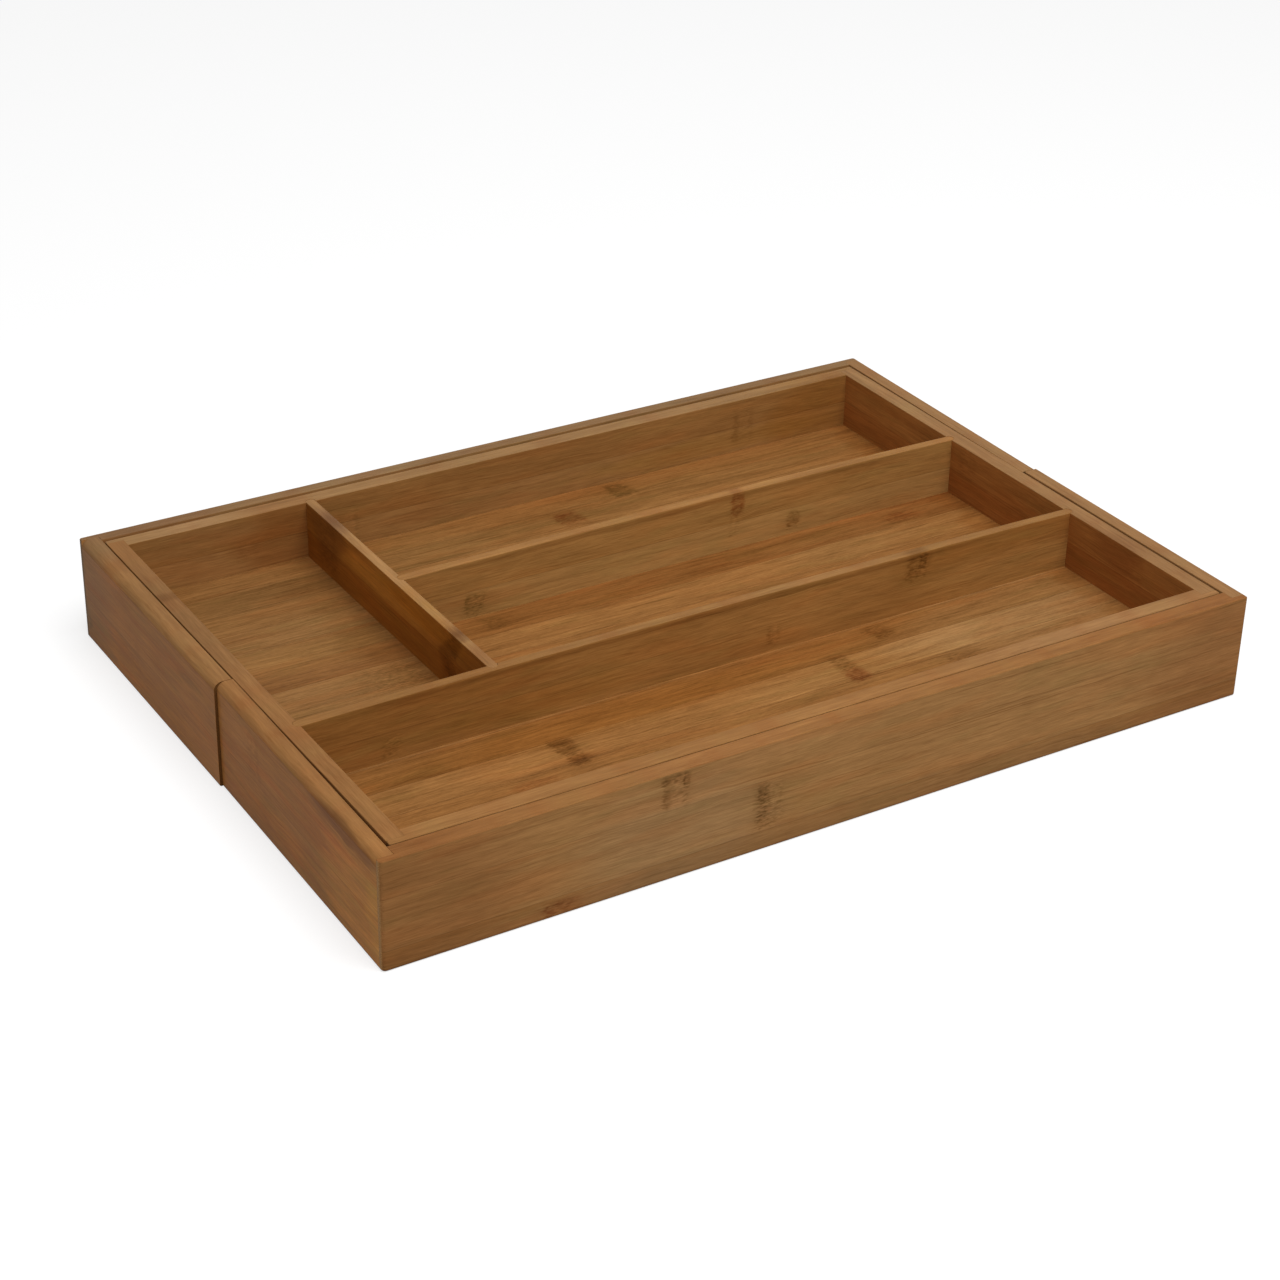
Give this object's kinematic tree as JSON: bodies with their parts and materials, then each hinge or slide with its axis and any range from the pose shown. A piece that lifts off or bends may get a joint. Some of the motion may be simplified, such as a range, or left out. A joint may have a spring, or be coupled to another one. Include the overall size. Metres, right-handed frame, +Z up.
{
  "type": "extendable cutlery tray",
  "caption": "Shallow bamboo drawer tray with divided compartments, held between U-shaped wings that slide out at the front and back to open extra compartments.",
  "frame": {"origin": "middle of the closed tray's footprint, on the surface that it stands on", "axes": "+X along the long sides, to the right seen from the front; +Y towards the back; +Z up"},
  "size_m": [0.45, 0.32, 0.0527],
  "materials": {
    "wing_bamboo": "satin lacquered bamboo, straight fibres",
    "tray_bamboo": "satin lacquered bamboo, straight fibres",
    "floor_bamboo": "satin lacquered bamboo, glued strips",
    "divider_bamboo": "satin lacquered bamboo, straight fibres",
    "guide_bamboo": "plain sanded bamboo"
  },
  "bodies": {
    "tray": {"tray_front_wall": "tray_bamboo", "tray_back_wall": "tray_bamboo", "tray_left_wall": "tray_bamboo", "tray_right_wall": "tray_bamboo", "tray_floor": "floor_bamboo", "front_divider": "divider_bamboo", "middle_divider": "divider_bamboo", "cross_divider": "divider_bamboo", "front_left_guide": "guide_bamboo", "front_right_guide": "guide_bamboo", "rear_left_guide": "guide_bamboo", "rear_right_guide": "guide_bamboo"},
    "front_wing": {"front_wing_wall": "wing_bamboo", "front_wing_left_return": "wing_bamboo", "front_wing_right_return": "wing_bamboo", "front_wing_floor": "floor_bamboo", "front_wing_left_stop": "guide_bamboo", "front_wing_right_stop": "guide_bamboo"},
    "rear_wing": {"rear_wing_wall": "wing_bamboo", "rear_wing_left_return": "wing_bamboo", "rear_wing_right_return": "wing_bamboo", "rear_wing_floor": "floor_bamboo", "rear_wing_left_stop": "guide_bamboo", "rear_wing_right_stop": "guide_bamboo"}
  },
  "joints": [
    {"name": "front_wing_slide", "type": "slide", "parent": "tray", "child": "front_wing", "axis": [0, -1, 0], "range_m": [0, 0.109]},
    {"name": "rear_wing_slide", "type": "slide", "parent": "tray", "child": "rear_wing", "axis": [0, 1, 0], "range_m": [0, 0.108]}
  ]
}
